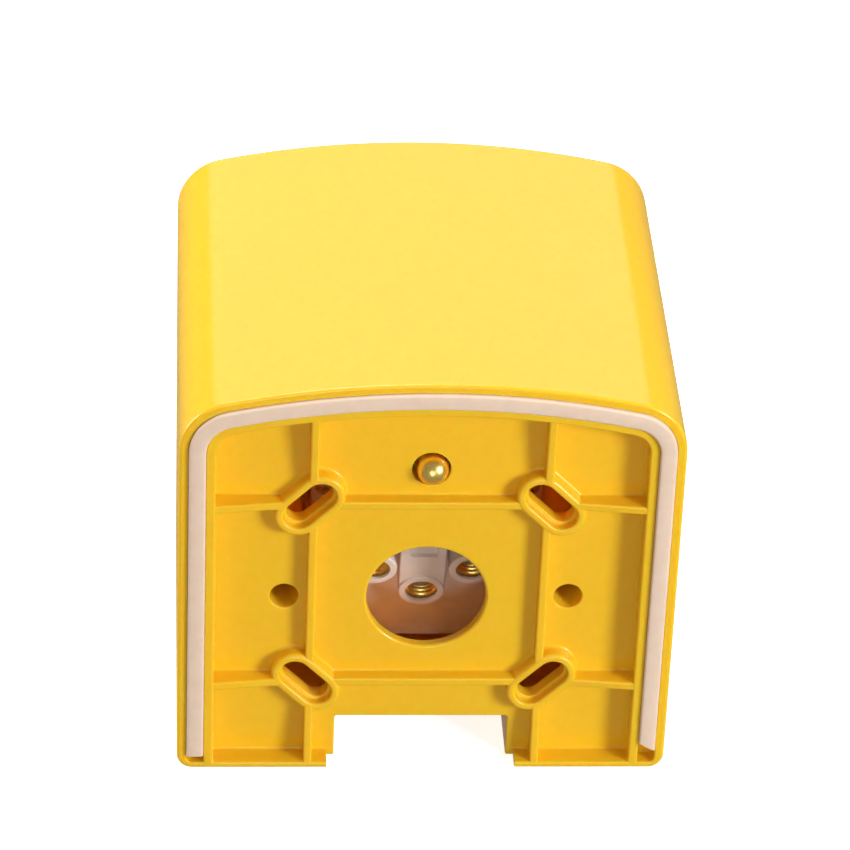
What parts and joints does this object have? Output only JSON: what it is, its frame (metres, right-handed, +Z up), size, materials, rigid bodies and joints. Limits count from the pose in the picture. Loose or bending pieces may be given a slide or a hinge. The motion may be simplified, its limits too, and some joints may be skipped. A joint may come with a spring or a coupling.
{
  "type": "pedestrian push button",
  "caption": "Hooded push button for a wall or pole: arched moulded hood with a ribbed, sealed back, slotted fixing bosses, and a leaning front with a round button and a call light.",
  "frame": {"origin": "middle of the footprint, at the lowest face of the hood", "axes": "+X right seen from the front, +Y towards the wall, +Z up"},
  "size_m": [0.125, 0.121, 0.1168],
  "materials": {
    "yellow_plastic": "gloss",
    "white_plastic": "satin",
    "black_plastic": "satin",
    "bush_plastic": "satin",
    "seal_foam": "matte foam",
    "rubber": "matte",
    "brass": "machined",
    "tinned_copper": "tin plated",
    "steel": "brushed stainless",
    "red_lens": "clear gloss",
    "circuit_board": "solder mask",
    "lamp_resin": "clear gloss",
    "arrow_plastic": "gloss",
    "plunger_plastic": "satin",
    "earth_sleeve": "satin sleeve",
    "red_sleeve": "satin sleeve",
    "black_sleeve": "satin sleeve",
    "blue_sleeve": "satin sleeve",
    "white_sleeve": "satin sleeve"
  },
  "bodies": {
    "hood": {"housing": "yellow_plastic", "wall_seal": "seal_foam", "cable_grommet": "rubber", "panel_gasket": "rubber", "button_seal": "rubber", "earth_stud": "brass", "earth_washer": "brass", "earth_nut": "brass", "terminal_insert_1": "brass", "terminal_insert_2": "brass", "terminal_insert_3": "brass", "terminal_insert_4": "brass", "terminal_insert_5": "brass", "switch_tab_1": "brass", "switch_tab_2": "brass", "earth_lug": "tinned_copper", "earth_lead": "earth_sleeve", "terminal_carrier": "white_plastic", "terminal_screw_1": "steel", "terminal_screw_2": "steel", "terminal_screw_3": "steel", "terminal_screw_4": "steel", "terminal_screw_5": "steel", "carrier_screw_1": "steel", "carrier_screw_2": "steel", "carrier_screw_3": "steel", "carrier_screw_4": "steel", "panel_screw_1": "steel", "panel_screw_2": "steel", "bezel_ring": "steel", "bezel_screw_1": "steel", "bezel_screw_2": "steel", "bezel_screw_3": "steel", "bezel_screw_4": "steel", "return_spring": "steel", "switch_pin": "steel", "switch_bracket": "steel", "switch_screw_1": "steel", "switch_screw_2": "steel", "bracket_screw_1": "steel", "bracket_screw_2": "steel", "front_panel": "yellow_plastic", "switch_body": "black_plastic", "guide_bush": "bush_plastic", "indicator_lens": "red_lens", "led_board": "circuit_board", "led_bar": "lamp_resin", "lamp_lead_feed": "red_sleeve", "lamp_lead_return": "black_sleeve", "switch_lead_common": "blue_sleeve", "switch_lead_contact": "white_sleeve"},
    "button": {"button_cap": "steel", "arrow_inlay": "arrow_plastic", "button_stem": "steel", "retaining_clip": "steel"},
    "lever": {"switch_lever": "steel"},
    "plunger": {"switch_plunger": "plunger_plastic"}
  },
  "joints": [
    {"name": "button_press", "type": "slide", "parent": "hood", "child": "button", "axis": [0, 0.9511, -0.309], "range_m": [0, 0.0035], "stiffness_N_per_m": 1500, "springref_m": -0.006, "deforming": ["return_spring"]},
    {"name": "switch_lever_turn", "type": "hinge", "parent": "hood", "child": "lever", "pos_m": [-0.016, 0.00712, 0.06185], "axis": [0, 0.309, 0.9511], "range_deg": [0, 12.6]},
    {"name": "switch_plunger_slide", "type": "slide", "parent": "hood", "child": "plunger", "axis": [0, 0.9511, -0.309], "range_m": [0, 0.0011]}
  ],
  "couplings": [
    {"joint": "switch_lever_turn", "follows": "button_press", "rad_per_m": 62.5},
    {"joint": "switch_plunger_slide", "follows": "button_press", "ratio": 0.3125}
  ]
}
